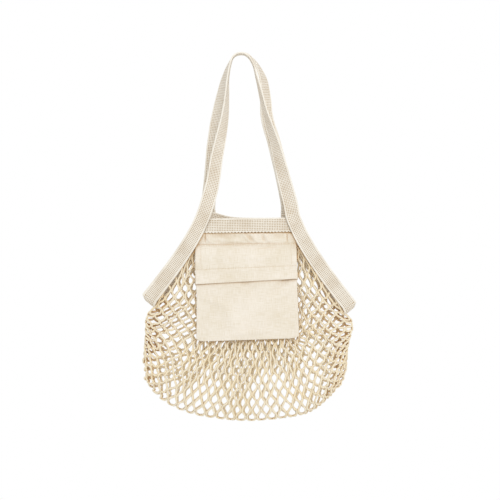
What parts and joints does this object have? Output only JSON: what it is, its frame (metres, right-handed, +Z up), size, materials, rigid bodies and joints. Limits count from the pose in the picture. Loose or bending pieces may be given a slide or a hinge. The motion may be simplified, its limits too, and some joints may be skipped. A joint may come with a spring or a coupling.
{
  "type": "string shopping bag",
  "caption": "Net shopping bag of knotless cotton with a loop of woven webbing for its long handles and edges, and a flapped calico pouch under the rim.",
  "frame": {"origin": "the point under the tops of both handles where the bag hangs", "axes": "+Z up, -Y out of the front, where the pouch is, and +X to the right as the front is seen"},
  "size_m": [0.3771, 0.053, 0.6408],
  "materials": {
    "net_cotton": "undyed knotless cotton net, matt",
    "webbing_cotton": "undyed woven cotton webbing with a small grid weave, matt",
    "calico": "plain-woven undyed cotton calico, matt"
  },
  "bodies": {
    "root": {"net_body": "net_cotton", "rim_band_front": "webbing_cotton", "rim_band_back": "webbing_cotton", "side_band_left": "webbing_cotton", "side_band_right": "webbing_cotton", "handle_strap_front": "webbing_cotton", "handle_strap_back": "webbing_cotton", "pouch_back": "calico", "pouch_front": "calico", "pouch_flap": "calico"}
  },
  "joints": []
}
